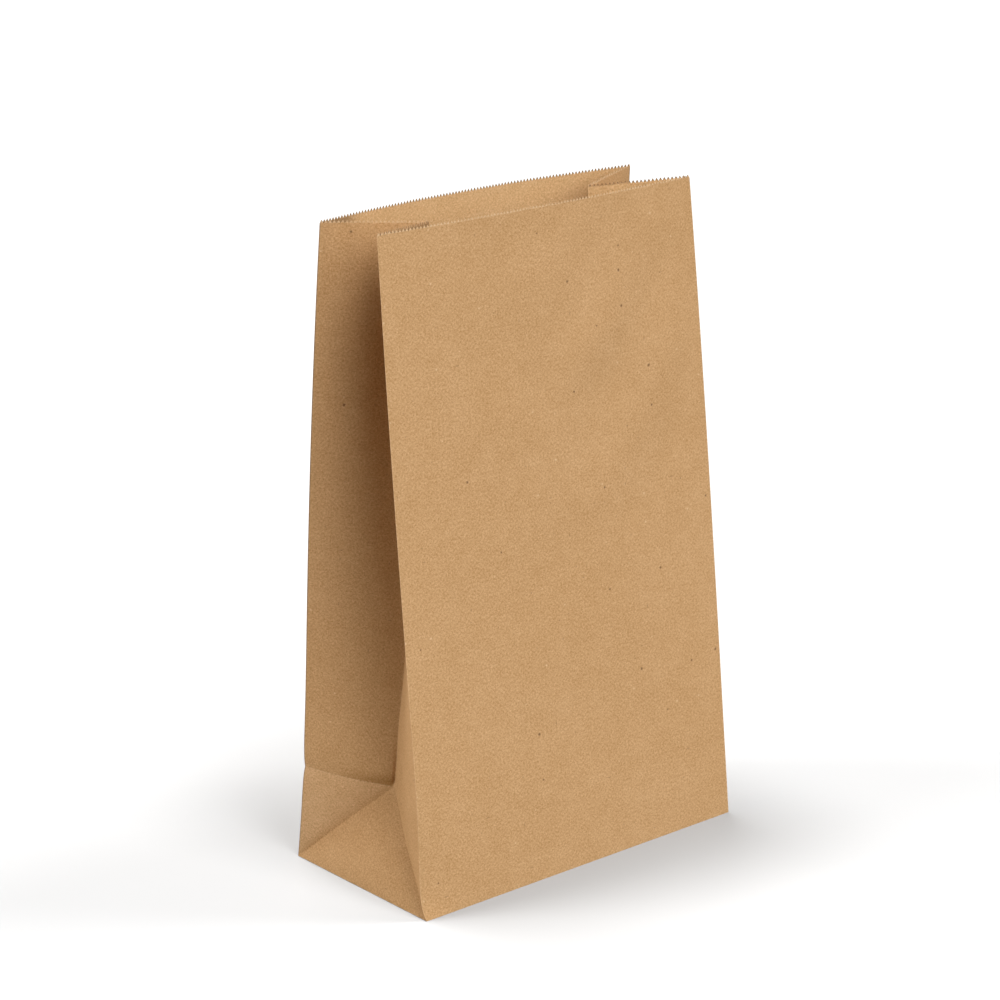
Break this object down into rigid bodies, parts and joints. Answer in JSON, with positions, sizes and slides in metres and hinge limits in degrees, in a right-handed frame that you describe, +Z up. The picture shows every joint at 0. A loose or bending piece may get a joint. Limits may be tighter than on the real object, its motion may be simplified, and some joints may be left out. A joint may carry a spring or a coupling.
{
  "type": "flat-bottom paper bag",
  "caption": "Open flat-bottom brown paper bag with gusseted sides, a folded and pasted base and a toothed rim, for carrying food or goods.",
  "frame": {"origin": "on the floor, at the middle of the rectangular base", "axes": "+Z up through the open mouth, +X across the panels, front panel towards -Y, lapped and cross-creased back panel towards +Y"},
  "size_m": [0.2, 0.1041, 0.3316],
  "materials": {
    "kraft_paper": "matt unbleached brown kraft with fine fibre specks"
  },
  "bodies": {
    "root": {"paper_bag": "kraft_paper"}
  },
  "joints": []
}
